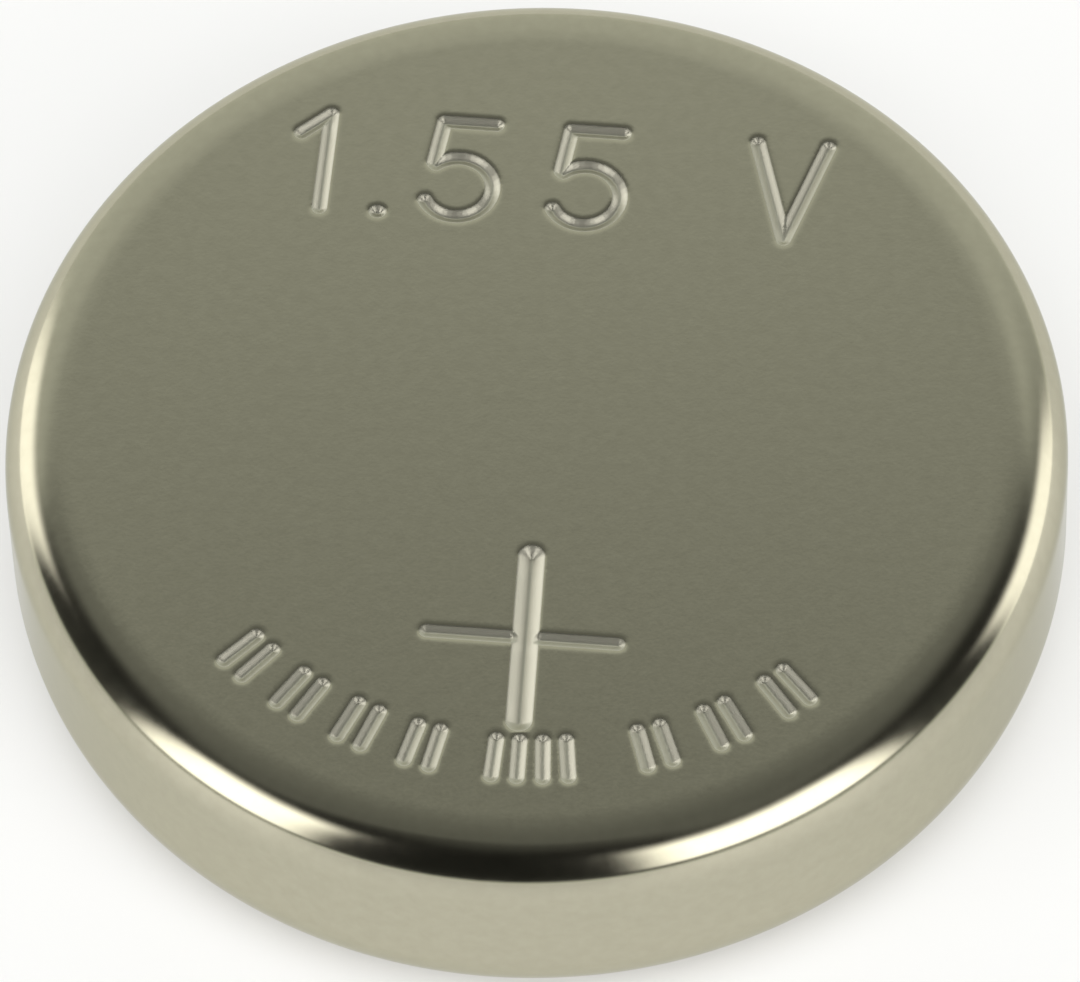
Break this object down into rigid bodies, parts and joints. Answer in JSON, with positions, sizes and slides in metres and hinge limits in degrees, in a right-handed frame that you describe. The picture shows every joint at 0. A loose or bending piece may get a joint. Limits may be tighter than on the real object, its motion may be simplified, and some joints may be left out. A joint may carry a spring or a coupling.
{
  "type": "silver oxide button cell",
  "caption": "Flat round silver oxide button cell: drawn steel can with its rim rolled in over a nylon gasket round a smaller anode cap.",
  "frame": {"origin": "centre of the anode cap's flat, the negative contact, which the cell stands on", "axes": "+Z along the cell's axis, towards the can's flat face, the positive contact"},
  "size_m": [0.0116, 0.0116, 0.003],
  "materials": {
    "can_nickel": "nickel plate, satin on the flat face and bright on the shoulder and wall",
    "gasket_nylon": "natural nylon, slightly translucent",
    "cap_nickel": "nickel outer layer, satin",
    "silver_oxide": "pressed powder, matt",
    "sleeve_steel": "nickel plate, plain",
    "barrier_film": "thin clear film, smooth",
    "pad_fibre": "non-woven fibre, matt",
    "zinc_gel": "grey powder in gel, matt"
  },
  "bodies": {
    "root": {"positive_can": "can_nickel", "sealing_gasket": "gasket_nylon", "anode_cap": "cap_nickel", "cathode_pellet": "silver_oxide", "cathode_sleeve": "sleeve_steel", "barrier_membrane": "barrier_film", "separator_pad": "pad_fibre", "zinc_anode": "zinc_gel"}
  },
  "joints": []
}
